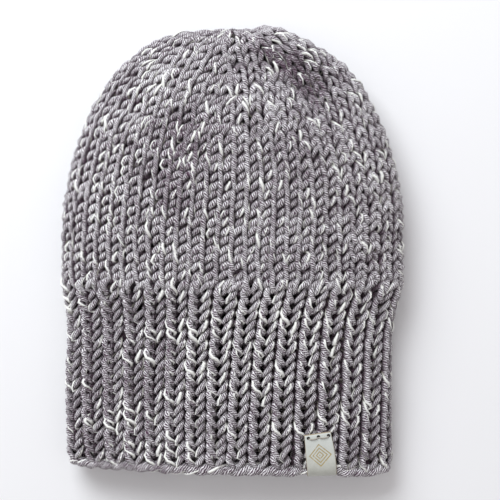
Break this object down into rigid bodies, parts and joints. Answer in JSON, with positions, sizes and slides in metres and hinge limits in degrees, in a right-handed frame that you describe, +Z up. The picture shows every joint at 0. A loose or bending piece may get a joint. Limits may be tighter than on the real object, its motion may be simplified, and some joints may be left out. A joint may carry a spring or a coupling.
{
  "type": "knitted beanie",
  "caption": "Chunky hand-knitted beanie lying flat, with a stockinette crown drawn together at the tip, a ribbed band, a cast-on edge and a small leather label folded over the hem.",
  "frame": {"origin": "on the surface that the beanie lies on, under the middle of its bounding box", "axes": "+Y from the mouth to the crown's tip, +X across, to the right in the picture, +Z up through the front layer"},
  "size_m": [0.2227, 0.2913, 0.0432],
  "materials": {
    "crown_yarn": "plied grey marl wool with an off-white carried strand, matt and slightly fuzzy",
    "rib_yarn": "plied grey marl wool with an off-white carried strand, matt and slightly fuzzy",
    "edge_yarn": "plied grey marl wool with an off-white carried strand, matt and slightly fuzzy",
    "label_leather": "smooth cream leather with raw cut edges"
  },
  "bodies": {
    "root": {"crown": "crown_yarn", "rib_band": "rib_yarn", "cast_on_edge": "edge_yarn", "label": "label_leather"}
  },
  "joints": []
}
